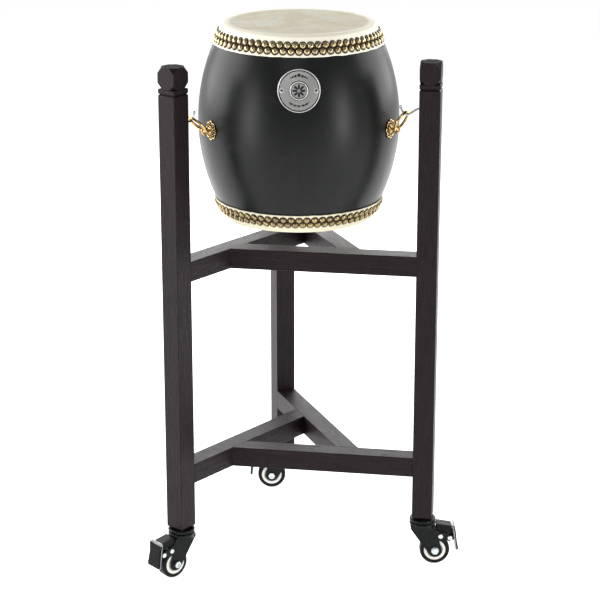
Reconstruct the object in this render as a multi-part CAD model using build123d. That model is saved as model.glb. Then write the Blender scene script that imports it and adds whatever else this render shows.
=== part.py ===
from build123d import *
import itertools
import math
import os

# A barrel drum (tanggu) that hangs by three rings from the hooks of a three-post rolling stand.
# Millimetres. The origin is on the floor, on the stand's axis; +Z is up and the badge faces -Y.

# ---------------------------------------------------------------- driving dimensions
SIDES = {"right": 335.7, "left": 215.7, "rear": 95.7}      # azimuth of each post, degrees

POST_WIDTH = 35.0            # square timber of posts and rails
POST_BOTTOM = 86.0           # underside of a post, which is the height of a caster
POST_LENGTH = 805.0
POST_CIRCLE_RADIUS = 243.1   # stand axis to post axis
EASED_EDGE = 1.2             # sanded edge of the timber
FOOT_CHAMFER = 4.0
KNOB_HEIGHT = 36.0           # block with cut corners on top of each post
KNOB_CORNER_CUT = 10.0
NOTCH = 2.2                  # 45 degree V-notches under the knob and under the collar
COLLAR_HEIGHT = 9.0

RAIL_SKEW = 14.9             # a rail points this many degrees beside the stand's axis
UPPER_RAIL_TOP = 562.5
LOWER_RAIL_TOP = 201.0
DOWEL_RADIUS = 4.0
DOWEL_LENGTH = 34.0
DOWEL_SPACING = 16.0

DRUM_AXIS = (5.6, -1.4)      # the drum hangs a few millimetres beside the stand's axis
DRUM_MIDDLE = 774.0
DRUM_HEIGHT = 330.0
BELLY_RADIUS = 170.0
STAVE_RADIUS = 322.0         # the barrel's side is an arc of this radius
WALL = 12.0
END_CHAMFER_DROP = 4.0       # chamfer on the shell's outer end edge
END_CHAMFER_INSET = 1.5      # its inner edge lies this far inside the flat playing area
SKIN = 2.5                   # hide over the end of the shell
SKIRT = 2.3                  # hide lapped down the side of the shell
FLAT_RADIUS = 124.0          # flat playing area
SHOULDER_DROP = 8.0          # the hide's round shoulder ends this far below the playing face
LAP_HEIGHT = 131.5           # edge of the lapped hide, from the drum's middle
GLUE_GAP = 0.05

NAIL_ROW_HEIGHTS = (139.6, 148.4)
NAILS_PER_ROW = 68
NAIL_HEAD_RADIUS = 5.5
NAIL_HEAD_HEIGHT = 3.4
NAIL_SHANK_RADIUS = 0.9
NAIL_SHANK_LENGTH = 9.0

BADGE_HEIGHT = 81.0          # centre of the badge, above the drum's middle
BADGE_RADIUS = 35.0
BADGE_PLATE = 1.2
BADGE_RELIEF = 0.7           # height of the badge's rim and inner ring above its plate
BADGE_RIM_WIDTH = 1.8
BADGE_INNER_RING = 15.0
BADGE_PIN_OFFSET = 27.7
BADGE_PIN_RADIUS = 2.0
BADGE_PIN_LENGTH = 9.0

EYE_AXIS_RADIUS = 182.0      # drum axis to the middle of a ring bolt's eye
EYE_HOLE_RADIUS = 3.25
EYE_WIRE_RADIUS = 1.75
BOLT_RADIUS = 2.5
BOLT_CLEARANCE = 0.05
BOLT_TAIL_RADIUS = 150.0     # drum axis to the inner end of the bolt
NUT_RADIUS = 4.6             # across the corners
NUT_HEIGHT = 5.0
WASHER_RADIUS = 7.0
WASHER_THICKNESS = 1.0
WASHER_CLEARANCE = 0.3       # flat washer on the hollow inside of the shell
ROSETTE_PETALS = 8
ROSETTE_PETAL_RADIUS = 5.4
ROSETTE_PETAL_CIRCLE = 11.6
ROSETTE_THICKNESS = 2.2
ROSETTE_BOSS_RADIUS = 6.0
ROSETTE_BOSS_HEIGHT = 1.4
ROSETTE_CHAMFER = 0.8

RING_RADIUS = 18.25          # to the middle of the ring's wire
RING_WIRE_RADIUS = 2.25

HOOK_WIRE_RADIUS = 1.8
HOOK_REACH = 21.0            # post face to the centre of the trough's curve
HOOK_TROUGH_RADIUS = 8.0     # to the middle of the hook's wire
HOOK_GAP = 0.8               # daylight between the ring and the trough
HOOK_SCREW_LENGTH = 22.0
HOOK_SCREW_RISE = 2.0        # the screw enters the post this far above the trough's centre
HOOK_NECK_SLOPE = 35.0       # fall from the screw to the trough, degrees
HOOK_TIP_SLOPE = 63.0        # rise from the trough to the tip, degrees
HOOK_TIP_LENGTH = 17.0
HOOK_NECK_RADIUS = 5.0
HOOK_EYE_RADIUS = 1.9        # the tip is rolled into an eye of this radius
HOOK_EYE_WIRE_RADIUS = 1.1

CASTER_TRAIL = 21.5          # swivel axis to wheel axis
CASTER_HEADINGS = {"right": 2.0, "left": 220.0, "rear": 180.0}
WHEEL_RADIUS = 26.0
WHEEL_WIDTH = 19.0
HUB_RADIUS = 19.0
HUB_WEB_RADIUS = 13.5
TYRE_FIT = 0.02
TYRE_SHOULDER = 3.2
HUB_BOSS_RADIUS = 7.0
HUB_BOSS_WIDTH = 21.4
AXLE_RADIUS = 3.0
AXLE_NUT_RADIUS = 6.3        # across the corners
AXLE_NUT_HEIGHT = 5.0
AXLE_HEAD_HEIGHT = 4.0
AXLE_WASHER_RADIUS = 6.6
AXLE_WASHER_THICKNESS = 0.8
FORK_INNER_WIDTH = 22.0
FORK_PLATE = 2.0
FORK_BOSS_RADIUS = 12.0
FORK_TOP = 73.0
FORK_CROWN = 5.0             # thickness of the fork's top
FORK_EDGE = 1.0              # rounding of the pressed edges
RACE_RADIUS = 23.0
RACE_SPLIT = 79.0            # height of the gap between the two halves of the swivel race
RACE_GAP = 0.6
BALL_RADIUS = 2.0
BALL_CIRCLE = 17.0
BALLS = 22
KINGPIN_RADIUS = 5.0
KINGPIN_HEAD_RADIUS = 8.0
KINGPIN_HEAD_HEIGHT = 3.0
STEM_RADIUS = 4.0
STEM_LENGTH = 20.0
INSERT_RADIUS = 6.0
INSERT_LENGTH = 18.0
INSERT_RECESS = 0.5          # the insert sits this far inside the post's foot
RUNNING_FIT = 0.05           # radial clearance of a shaft in its hole

RIVET_FRONT = (31.0, 53.0)   # spring stop, ahead of the swivel axis and above the floor
RIVET_PIVOT = (47.4, 50.0)   # the brake lever turns on this rivet
RIVET_RADIUS = 2.25
RIVET_HEAD_RADIUS = 4.2
RIVET_HEAD_HEIGHT = 1.6
PEDAL_TOP = (52.6, 73.0)
PEDAL_BOTTOM = (58.6, 27.0)
PEDAL_PLATE = 1.8
PEDAL_WIDTH = 32.0
PEDAL_CORNER = 3.0
CHEEK_THICKNESS = 1.8
CHEEK_RADIUS = 5.2
SLEEVE_RADIUS = 4.4
LEVER_CLEARANCE = 0.6        # between the lever's cheeks and the fork's legs
COVER_CLEARANCE = 0.8        # between the cover and the fork's legs
COVER_EDGE = 1.2
PAD_WIDTH = 35.0
PAD_THICKNESS = 3.2
PAD_TOP_MARGIN = 4.0         # bare plate above the pad
PAD_FOOT_MARGIN = 0.5
PAD_GROOVES = 7
GROOVE_PITCH = 5
GROOVE_WIDTH = 1.6
GROOVE_DEPTH = 1.2
THROUGH = 60.0               # length of a drill or cutter that passes right through a part

# ---------------------------------------------------------------- derived places
POST_HALF = POST_WIDTH / 2
DRUM_HALF = DRUM_HEIGHT / 2
SHELL_HALF = DRUM_HALF - SKIN
SHELL_SIDE_TOP = SHELL_HALF - END_CHAMFER_DROP
SHELL_CROWN = FLAT_RADIUS - END_CHAMFER_INSET
STAVE_CENTRE = BELLY_RADIUS - STAVE_RADIUS
SKIRT_RADIUS = STAVE_RADIUS + GLUE_GAP + SKIRT
FORK_HALF = FORK_INNER_WIDTH / 2 + FORK_PLATE
LEVER_HALF = FORK_INNER_WIDTH / 2 - LEVER_CLEARANCE
STANDING = (Align.CENTER, Align.CENTER, Align.MIN)   # a solid that stands on its plane
HANGING = (Align.CENTER, Align.CENTER, Align.MAX)    # a solid that hangs below its plane


def polar(radius, azimuth):
    """The point at a radius and an azimuth in degrees."""
    angle = math.radians(azimuth)
    return Vector(radius * math.cos(angle), radius * math.sin(angle))


def barrel_radius(height, arc=STAVE_RADIUS):
    """Radius of the barrel's arc at a height from the drum's middle."""
    return STAVE_CENTRE + math.sqrt(arc ** 2 - height ** 2)


def barrel_angle(height):
    """Slope of the barrel's normal above the horizontal, in degrees."""
    return math.degrees(math.asin(height / STAVE_RADIUS))


def save(name, shape):
    export_step(shape, f"parts/{name}.step")


def revolved(outline):
    """A solid of revolution about Z from a closed outline in X and Z."""
    return revolve(Plane.XZ * make_face(outline), axis=Axis.Z)


def arc_run(low, high, arc):
    """The stretch of a barrel arc between two heights."""
    middle = (low + high) / 2
    return ThreePointArc(
        (barrel_radius(low, arc), low),
        (barrel_radius(middle, arc), middle),
        (barrel_radius(high, arc), high),
    )


# ---------------------------------------------------------------- stand: timber
def post_axis(side):
    return polar(POST_CIRCLE_RADIUS, SIDES[side])


def rail_heading(side):
    """Direction of the rails of a post, which is also the outward normal of its hook face."""
    return SIDES[side] + 180 + RAIL_SKEW


def along_rail(side, distance, beside=0.0, height=0.0):
    """A point measured from a post's axis, along and beside its rails."""
    heading = rail_heading(side)
    point = post_axis(side) + polar(distance, heading) + polar(beside, heading + 90)
    return Vector(point.X, point.Y, height)


def next_side(side):
    """The post whose rails the rails of this post run up against."""
    return {"right": "left", "left": "rear", "rear": "right"}[side]


def rail_end_plane(side):
    """The near side of the neighbouring rail, with its normal pointing away from the post."""
    neighbour = next_side(side)
    outward = polar(1, rail_heading(neighbour) - 90)
    origin = along_rail(neighbour, 0, -POST_HALF)
    return Plane(origin=origin, z_dir=-outward)


def rail_length(side):
    """Distance along the rail's middle line from the post's axis to the neighbouring rail."""
    plane = rail_end_plane(side)
    start = post_axis(side)
    heading = polar(1, rail_heading(side))
    return (plane.origin - start).dot(plane.z_dir) / heading.dot(plane.z_dir)


def dowels(side, rail_top):
    """The four dowels of a rail: two in its post and two in the neighbouring rail."""
    placed = []
    for joint in (POST_HALF, rail_length(side)):
        for offset in (-DOWEL_SPACING / 2, DOWEL_SPACING / 2):
            centre = along_rail(side, joint, 0, rail_top - POST_HALF + offset)
            placed.append(Plane(origin=centre, z_dir=polar(1, rail_heading(side))))
    return placed


def dowel_holes(planes):
    hole = Cylinder(DOWEL_RADIUS + RUNNING_FIT, DOWEL_LENGTH + 1)
    return [plane * hole for plane in planes]


def rail(side, rail_top):
    """One rail, from the post's face to the slanting butt joint on the neighbouring rail."""
    length = rail_length(side) + POST_WIDTH - POST_HALF
    bar = Box(length, POST_WIDTH, POST_WIDTH, align=(Align.MIN, Align.CENTER, Align.MAX))
    bar = fillet(bar.edges().filter_by(Axis.X), EASED_EDGE)
    start = along_rail(side, POST_HALF, 0, rail_top)
    bar = Pos(*start) * Rot(0, 0, rail_heading(side)) * bar
    beyond = Box(3 * POST_WIDTH, 3 * POST_WIDTH, 3 * POST_WIDTH, align=STANDING)
    end = rail_end_plane(side)
    end_point = along_rail(side, rail_length(side), 0, rail_top - POST_HALF)
    bar -= Plane(origin=end_point, z_dir=end.z_dir) * beyond
    incoming = [other for other in SIDES if next_side(other) == side][0]
    return bar - dowel_holes(dowels(side, rail_top)) - dowel_holes(dowels(incoming, rail_top))


def knob():
    """The block on top of a post: a cube whose eight corners are cut away."""
    block = Box(POST_WIDTH, POST_WIDTH, KNOB_HEIGHT)
    reach = POST_HALF * 2 + KNOB_HEIGHT / 2 - KNOB_CORNER_CUT
    cutter = Box(POST_WIDTH, POST_WIDTH, POST_WIDTH, align=STANDING)
    for x, y, z in itertools.product((-1, 1), repeat=3):
        normal = Vector(x, y, z).normalized()
        block -= Plane(origin=normal * (reach / math.sqrt(3)), z_dir=normal) * cutter
    return block


def post(side):
    """A post with its turned-down foot, collar and knob, drilled for dowels, hook and caster."""
    collar_top = POST_LENGTH - KNOB_HEIGHT
    shaft_top = collar_top - COLLAR_HEIGHT
    shaft = Box(POST_WIDTH, POST_WIDTH, shaft_top, align=STANDING)
    shaft = chamfer(shaft.faces().sort_by(Axis.Z)[0].edges(), FOOT_CHAMFER)
    shaft = chamfer(shaft.faces().sort_by(Axis.Z)[-1].edges(), NOTCH)
    shaft = fillet(shaft.edges().filter_by(Axis.Z), EASED_EDGE)
    collar = Box(POST_WIDTH, POST_WIDTH, COLLAR_HEIGHT, align=STANDING)
    collar = chamfer(collar.faces().sort_by(Axis.Z)[0].edges(), NOTCH)
    collar = chamfer(collar.faces().sort_by(Axis.Z)[-1].edges(), NOTCH / 2)
    collar = fillet(collar.edges().filter_by(Axis.Z), EASED_EDGE)
    body = shaft + Pos(0, 0, shaft_top) * collar
    body += Pos(0, 0, collar_top + KNOB_HEIGHT / 2) * knob()
    body -= Cylinder(INSERT_RADIUS + RUNNING_FIT, STEM_LENGTH + 2, align=STANDING)
    body = Pos(*along_rail(side, 0, 0, POST_BOTTOM)) * Rot(0, 0, rail_heading(side)) * body
    body -= dowel_holes(dowels(side, UPPER_RAIL_TOP) + dowels(side, LOWER_RAIL_TOP))
    screw_height = hook_seat(side).Z + HOOK_SCREW_RISE
    screw_hole = Cylinder(HOOK_WIRE_RADIUS + RUNNING_FIT, 2 * HOOK_SCREW_LENGTH + 1)
    hook_face = along_rail(side, POST_HALF, 0, screw_height)
    return body - Plane(origin=hook_face, z_dir=polar(1, rail_heading(side))) * screw_hole


# ---------------------------------------------------------------- hooks and rings
def ring_azimuth(side):
    """Azimuth, about the drum's axis, of the hook's trough and so of the ring that hangs in it."""
    seat = along_rail(side, POST_HALF + HOOK_REACH)
    return math.degrees(math.atan2(seat.Y - DRUM_AXIS[1], seat.X - DRUM_AXIS[0]))


def eye_centre(side):
    point = Vector(*DRUM_AXIS) + polar(EYE_AXIS_RADIUS, ring_azimuth(side))
    return Vector(point.X, point.Y, DRUM_MIDDLE)


def ring_tilt(side):
    """Rise of a hung ring above the horizontal, in degrees, between its eye and its hook."""
    seat = along_rail(side, POST_HALF + HOOK_REACH)
    reach = (seat - Vector(*DRUM_AXIS)).length - EYE_AXIS_RADIUS
    return math.degrees(math.acos(reach / ring_hold()))


def ring_hold():
    """Distance from the eye's middle to the trough's centre when the ring is pulled taut."""
    room = HOOK_TROUGH_RADIUS - HOOK_WIRE_RADIUS - RING_WIRE_RADIUS - HOOK_GAP
    return 2 * RING_RADIUS + room


def hook_seat(side):
    """Centre of the curve of a hook's trough."""
    seat = along_rail(side, POST_HALF + HOOK_REACH)
    rise = ring_hold() * math.sin(math.radians(ring_tilt(side)))
    return Vector(seat.X, seat.Y, DRUM_MIDDLE + rise)


def hook_path():
    """Middle line of a hook in X, out of the post, and Z, from the level of the trough's centre."""
    fall = math.radians(HOOK_NECK_SLOPE)
    rise = math.radians(HOOK_TIP_SLOPE)
    half_turn = (fall + rise) / 2
    lean = (rise - fall) / 2
    depth = HOOK_TROUGH_RADIUS / math.cos(half_turn)
    corner = (HOOK_REACH + depth * math.sin(lean), -depth * math.cos(lean))
    bend = (corner[0] - (HOOK_SCREW_RISE - corner[1]) / math.tan(fall), HOOK_SCREW_RISE)
    tip_run = HOOK_TIP_LENGTH * math.cos(rise)
    tip_rise = HOOK_TIP_LENGTH * math.sin(rise)
    tip = (corner[0] + tip_run, corner[1] + tip_rise)
    inner_end = (-HOOK_SCREW_LENGTH, HOOK_SCREW_RISE)
    bends = (HOOK_NECK_RADIUS, HOOK_TROUGH_RADIUS)
    return FilletPolyline(inner_end, bend, corner, tip, radius=bends), tip


def hook(side):
    """A screw hook of round wire: screw, neck, trough and a tip rolled into a small eye."""
    line, tip = hook_path()
    path = Plane.XZ * line
    section = Plane(origin=path @ 0, z_dir=path % 0) * Circle(HOOK_WIRE_RADIUS)
    wire = sweep(section, path=path)
    rolled_eye = Rot(90, 0, 0) * Torus(HOOK_EYE_RADIUS, HOOK_EYE_WIRE_RADIUS)
    rolled_eye = Pos(tip[0] + 0.3, 0, tip[1] + 1.4) * rolled_eye
    placed = along_rail(side, POST_HALF, 0, hook_seat(side).Z)
    return Pos(*placed) * Rot(0, 0, rail_heading(side)) * (wire + rolled_eye)


def ring(side):
    """The carrying ring, hung between its eye and its hook."""
    azimuth = ring_azimuth(side)
    loop = Pos(RING_RADIUS, 0, 0) * Torus(RING_RADIUS, RING_WIRE_RADIUS)
    hung = Rot(0, -ring_tilt(side), 0) * loop
    return Pos(*eye_centre(side)) * Rot(0, 0, azimuth) * hung


def ring_bolt_axis(side, radius):
    """A plane across the ring bolt at a radius from the drum's axis, facing outwards."""
    azimuth = ring_azimuth(side)
    point = Vector(*DRUM_AXIS) + polar(radius, azimuth)
    return Plane(origin=(point.X, point.Y, DRUM_MIDDLE), x_dir=(0, 0, 1), z_dir=polar(1, azimuth))


def ring_bolt(side):
    """Eye bolt through the rosette and the shell, its eye in an upright plane."""
    length = EYE_AXIS_RADIUS - EYE_HOLE_RADIUS - EYE_WIRE_RADIUS / 2 - BOLT_TAIL_RADIUS
    shank = ring_bolt_axis(side, BOLT_TAIL_RADIUS) * Cylinder(BOLT_RADIUS, length, align=STANDING)
    eye = Rot(90, 0, 0) * Torus(EYE_HOLE_RADIUS + EYE_WIRE_RADIUS, EYE_WIRE_RADIUS)
    return shank + Pos(*eye_centre(side)) * Rot(0, 0, ring_azimuth(side)) * eye


def ring_bolt_nut(side):
    """Hexagonal nut with a washer face, tightened against the inside of the shell."""
    inside = BELLY_RADIUS - WALL - WASHER_CLEARANCE
    washer = Cylinder(WASHER_RADIUS, WASHER_THICKNESS, align=HANGING)
    nut = extrude(RegularPolygon(NUT_RADIUS, 6), amount=-NUT_HEIGHT)
    bore = Cylinder(BOLT_RADIUS + RUNNING_FIT, THROUGH)
    return ring_bolt_axis(side, inside) * (washer + nut - bore)


def rosette(side):
    """Petalled escutcheon under the eye of a ring bolt."""
    turns = [n * 360 / ROSETTE_PETALS for n in range(ROSETTE_PETALS)]
    petal = Circle(ROSETTE_PETAL_RADIUS)
    petals = [Pos(*polar(ROSETTE_PETAL_CIRCLE, turn)) * petal for turn in turns]
    plate = Circle(ROSETTE_PETAL_CIRCLE) + petals
    flower = extrude(plate, amount=ROSETTE_THICKNESS)
    flower = chamfer(flower.faces().sort_by(Axis.Z)[-1].edges(), ROSETTE_CHAMFER)
    boss_top = ROSETTE_THICKNESS + ROSETTE_BOSS_HEIGHT
    flower += Cylinder(ROSETTE_BOSS_RADIUS, boss_top, align=STANDING)
    flower -= Cylinder(BOLT_RADIUS + RUNNING_FIT, THROUGH)
    return ring_bolt_axis(side, BELLY_RADIUS + GLUE_GAP) * flower


# ---------------------------------------------------------------- drum
def at_drum(shape):
    return Pos(DRUM_AXIS[0], DRUM_AXIS[1], DRUM_MIDDLE) * shape


def shell():
    """The barrel: staves glued into one body, chamfered at the ends and drilled for the bolts."""
    inner = STAVE_RADIUS - WALL
    side = barrel_radius(SHELL_SIDE_TOP)
    mouth = barrel_radius(SHELL_HALF, inner)
    outline = [
        arc_run(-SHELL_SIDE_TOP, SHELL_SIDE_TOP, STAVE_RADIUS),
        Line((side, SHELL_SIDE_TOP), (SHELL_CROWN, SHELL_HALF)),
        Line((SHELL_CROWN, SHELL_HALF), (mouth, SHELL_HALF)),
        arc_run(-SHELL_HALF, SHELL_HALF, inner),
        Line((mouth, -SHELL_HALF), (SHELL_CROWN, -SHELL_HALF)),
        Line((SHELL_CROWN, -SHELL_HALF), (side, -SHELL_SIDE_TOP)),
    ]
    barrel = at_drum(revolved(outline))
    drill = Cylinder(BOLT_RADIUS + BOLT_CLEARANCE, 4 * WALL)
    return barrel - [ring_bolt_axis(side, BELLY_RADIUS) * drill for side in SIDES]


def head():
    """The upper hide: a flat disc that turns over the shell's end and laps down its side."""
    inner_arc = STAVE_RADIUS + GLUE_GAP
    shoulder = DRUM_HALF - SHOULDER_DROP
    rim = (barrel_radius(shoulder, SKIRT_RADIUS), shoulder)
    turn = (rim[0] - 1.3, shoulder + 5.0)
    lap_outside = (barrel_radius(LAP_HEIGHT, SKIRT_RADIUS), LAP_HEIGHT)
    lap_inside = (barrel_radius(LAP_HEIGHT, inner_arc), LAP_HEIGHT)
    chamfer_low = (barrel_radius(SHELL_SIDE_TOP, inner_arc), SHELL_SIDE_TOP)
    chamfer_high = (SHELL_CROWN + GLUE_GAP, SHELL_HALF)
    outline = [
        Line((0, SHELL_HALF), (0, DRUM_HALF)),
        Line((0, DRUM_HALF), (FLAT_RADIUS, DRUM_HALF)),
        ThreePointArc((FLAT_RADIUS, DRUM_HALF), turn, rim),
        arc_run(LAP_HEIGHT, shoulder, SKIRT_RADIUS),
        Line(lap_outside, lap_inside),
        arc_run(LAP_HEIGHT, SHELL_SIDE_TOP, inner_arc),
        Line(chamfer_low, chamfer_high),
        Line(chamfer_high, (0, SHELL_HALF)),
    ]
    return revolved(outline)


def nail():
    """A domed upholstery nail: its head rests on the hide and its shank points into the shell."""
    sphere = (NAIL_HEAD_RADIUS ** 2 + NAIL_HEAD_HEIGHT ** 2) / (2 * NAIL_HEAD_HEIGHT)
    above = Box(THROUGH, THROUGH, THROUGH, align=STANDING)
    dome = (Pos(0, 0, NAIL_HEAD_HEIGHT - sphere) * Sphere(sphere)) & above
    return dome + Cylinder(NAIL_SHANK_RADIUS, NAIL_SHANK_LENGTH, align=HANGING)


def nail_rows():
    """Two staggered rows of nails round the upper lap, with their heads square to the barrel."""
    placed = []
    one = nail()
    for row, height in enumerate(NAIL_ROW_HEIGHTS):
        slope = barrel_angle(height)
        arc = SKIRT_RADIUS + GLUE_GAP
        reach = STAVE_CENTRE + arc * math.cos(math.radians(slope))
        level = arc * math.sin(math.radians(slope))
        seated = Pos(reach, 0, level) * Rot(0, 90 - slope, 0) * one
        for n in range(NAILS_PER_ROW):
            placed.append(Rot(0, 0, (n + row / 2) * 360 / NAILS_PER_ROW) * seated)
    return placed


def badge_frame():
    """A plane on the shell at the badge's centre: X across, Z out along the shell's normal."""
    slope = math.radians(barrel_angle(BADGE_HEIGHT))
    reach = barrel_radius(BADGE_HEIGHT)
    outward = (0, -math.cos(slope), math.sin(slope))
    return Plane(origin=(0, -reach, BADGE_HEIGHT), x_dir=(1, 0, 0), z_dir=outward)


def badge_layer(low, high):
    """The skin of the barrel between two heights above its surface, near the badge."""
    reach = BADGE_RADIUS + 6
    bottom = BADGE_HEIGHT - reach
    top = BADGE_HEIGHT + reach
    inner = STAVE_RADIUS + low
    outer = STAVE_RADIUS + high
    outline = [
        arc_run(bottom, top, inner),
        Line((barrel_radius(top, inner), top), (barrel_radius(top, outer), top)),
        arc_run(bottom, top, outer),
        Line((barrel_radius(bottom, outer), bottom), (barrel_radius(bottom, inner), bottom)),
    ]
    sheet = revolve(Plane.XZ * make_face(outline), axis=Axis.Z, revolution_arc=60)
    return Rot(0, 0, -120) * sheet


def badge():
    """Thin round plate bent to the barrel, with a raised rim and a raised inner ring."""
    plate = badge_layer(GLUE_GAP, GLUE_GAP + BADGE_PLATE)
    relief = badge_layer(GLUE_GAP, GLUE_GAP + BADGE_PLATE + BADGE_RELIEF)
    body = plate & (badge_frame() * Cylinder(BADGE_RADIUS, THROUGH))
    for radius in (BADGE_RADIUS, BADGE_INNER_RING):
        band = Cylinder(radius, THROUGH) - Cylinder(radius - BADGE_RIM_WIDTH, THROUGH)
        body += relief & (badge_frame() * band)
    for pin in badge_pin_planes():
        body -= pin * Cylinder(BADGE_PIN_RADIUS / 2 + RUNNING_FIT, THROUGH)
    return at_drum(body)


def badge_pin_planes():
    """Planes on the plate where the two pins go in, square to the barrel."""
    placed = []
    surface = STAVE_RADIUS + GLUE_GAP + BADGE_PLATE
    slope = math.radians(barrel_angle(BADGE_HEIGHT))
    reach = STAVE_CENTRE + surface * math.cos(slope)
    level = surface * math.sin(slope)
    for direction in (-1, 1):
        turn = -90 + direction * math.degrees(math.asin(BADGE_PIN_OFFSET / reach))
        point = polar(reach, turn)
        out = polar(math.cos(slope), turn)
        outward = (out.X, out.Y, math.sin(slope))
        placed.append(Plane(origin=(point.X, point.Y, level), z_dir=outward))
    return placed


def badge_pin():
    """Round-headed pin that holds the badge on the shell."""
    pin_head = Pos(0, 0, 0.1) * Cylinder(BADGE_PIN_RADIUS, 0.9, align=STANDING)
    pin_head = fillet(pin_head.faces().sort_by(Axis.Z)[-1].edges(), 0.7)
    shank = Pos(0, 0, 0.5) * Cylinder(BADGE_PIN_RADIUS / 2, BADGE_PIN_LENGTH, align=HANGING)
    return pin_head + shank


# ---------------------------------------------------------------- casters
# A caster is drawn with its swivel axis on Z and its wheel trailing towards +X, then placed.
def at_caster(side, shape):
    return Pos(*along_rail(side, 0)) * Rot(0, 0, CASTER_HEADINGS[side]) * shape


def across(x, z):
    """The location of a shaft that runs across the caster."""
    return Pos(x, 0, z) * Rot(90, 0, 0)


def ball_track(radius):
    return Pos(0, 0, RACE_SPLIT) * Torus(BALL_CIRCLE, radius)


def top_race():
    """Threaded stem, upper half of the swivel race and kingpin, riveted into one piece."""
    low = RACE_SPLIT + RACE_GAP / 2
    cup = Pos(0, 0, low) * Cylinder(RACE_RADIUS, POST_BOTTOM - low, align=STANDING)
    cup = fillet(cup.edges().filter_by(GeomType.CIRCLE), 2.6)
    stem = Pos(0, 0, POST_BOTTOM - 1) * Cylinder(STEM_RADIUS, STEM_LENGTH + 1, align=STANDING)
    pin_low = FORK_TOP - FORK_CROWN - RACE_GAP
    pin = Pos(0, 0, pin_low) * Cylinder(KINGPIN_RADIUS, low - pin_low + 1, align=STANDING)
    rivet_head = Cylinder(KINGPIN_HEAD_RADIUS, KINGPIN_HEAD_HEIGHT, align=HANGING)
    rivet_head = fillet(rivet_head.faces().sort_by(Axis.Z)[0].edges(), KINGPIN_HEAD_HEIGHT / 2)
    body = cup + stem + pin + Pos(0, 0, pin_low) * rivet_head
    return body - ball_track(BALL_RADIUS + RUNNING_FIT)


def balls():
    ball = Pos(BALL_CIRCLE, 0, RACE_SPLIT) * Sphere(BALL_RADIUS)
    return [Rot(0, 0, n * 360 / BALLS) * ball for n in range(BALLS)]


def fork_side():
    """Side view of the fork: a tapering leg down to the axle and an ear for the two rivets."""
    boss = Pos(CASTER_TRAIL, WHEEL_RADIUS) * Circle(FORK_BOSS_RADIUS)
    crown = Pos(0, FORK_TOP - 3) * Rectangle(2 * RACE_RADIUS - 3, 5)
    leg = make_hull([*boss.edges(), *crown.edges()])
    ear_root = Pos(22, 54) * Rectangle(4, 18)
    front = Pos(*RIVET_FRONT) * Circle(RIVET_HEAD_RADIUS + 1.8)
    rear = Pos(*RIVET_PIVOT) * Circle(RIVET_HEAD_RADIUS + 0.8)
    ear = make_hull([*ear_root.edges(), *front.edges(), *rear.edges()])
    return leg + ear


def fork():
    """Pressed steel fork, open below and behind, with the lower half of the race on its crown."""
    block = extrude(Plane.XZ * fork_side(), amount=FORK_HALF, both=True)
    for outer in (block.faces().sort_by(Axis.Y)[0], block.faces().sort_by(Axis.Y)[-1]):
        block = fillet(outer.edges(), FORK_EDGE)
    crown_low = FORK_TOP - FORK_CROWN
    opening = Polyline(
        (-THROUGH, -5), (-THROUGH, 54), (-10.0, 54), (-16.6, 64), (-16.6, crown_low),
        (THROUGH, crown_low), (THROUGH, -5),
        close=True,
    )
    hollow = extrude(Plane.XZ * make_face(opening), amount=FORK_INNER_WIDTH / 2, both=True)
    dish_top = RACE_SPLIT - RACE_GAP / 2
    dish = Pos(0, 0, crown_low) * Cylinder(RACE_RADIUS - 1.5, FORK_CROWN + 1, align=STANDING)
    lower_race = Pos(0, 0, FORK_TOP) * Cylinder(RACE_RADIUS, dish_top - FORK_TOP, align=STANDING)
    lower_race = fillet(lower_race.edges().filter_by(GeomType.CIRCLE), 2.2)
    body = block - hollow + dish + lower_race
    body -= Pos(0, 0, crown_low) * Cylinder(KINGPIN_RADIUS + RUNNING_FIT, THROUGH)
    body -= ball_track(BALL_RADIUS + RUNNING_FIT)
    body -= across(CASTER_TRAIL, WHEEL_RADIUS) * Cylinder(AXLE_RADIUS + RUNNING_FIT, THROUGH)
    for rivet_place in (RIVET_FRONT, RIVET_PIVOT):
        body -= across(*rivet_place) * Cylinder(RIVET_RADIUS + RUNNING_FIT, THROUGH)
    return body


def axle_bolt():
    """Hexagon-headed bolt that the wheel turns on; its head is on the -Y side."""
    head_side = Plane(origin=(0, -FORK_HALF, 0), x_dir=(1, 0, 0), z_dir=(0, -1, 0))
    length = 2 * FORK_HALF + AXLE_NUT_HEIGHT - 1
    bolt = Cylinder(AXLE_RADIUS, length, align=HANGING)
    hexagon = extrude(RegularPolygon(AXLE_NUT_RADIUS, 6), amount=AXLE_HEAD_HEIGHT)
    washer = Cylinder(AXLE_WASHER_RADIUS, AXLE_WASHER_THICKNESS, align=STANDING)
    return Pos(CASTER_TRAIL, 0, WHEEL_RADIUS) * (head_side * (bolt + hexagon + washer))


def axle_nut():
    nut_side = Plane(origin=(0, FORK_HALF, 0), x_dir=(1, 0, 0), z_dir=(0, 1, 0))
    nut = extrude(RegularPolygon(AXLE_NUT_RADIUS, 6), amount=AXLE_NUT_HEIGHT)
    nut -= Cylinder(AXLE_RADIUS + RUNNING_FIT, THROUGH)
    return Pos(CASTER_TRAIL, 0, WHEEL_RADIUS) * (nut_side * nut)


def rivet(place):
    """Solid rivet through both legs of the fork, with a domed head at each end."""
    button = Cylinder(RIVET_HEAD_RADIUS, RIVET_HEAD_HEIGHT, align=STANDING)
    button = fillet(button.faces().sort_by(Axis.Z)[-1].edges(), RIVET_HEAD_HEIGHT * 0.7)
    whole = Rot(90, 0, 0) * Cylinder(RIVET_RADIUS, 2 * FORK_HALF + 1)
    for side in (-1, 1):
        whole += Plane(origin=(0, side * FORK_HALF, 0), z_dir=(0, side, 0)) * button
    return Pos(place[0], 0, place[1]) * whole


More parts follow.
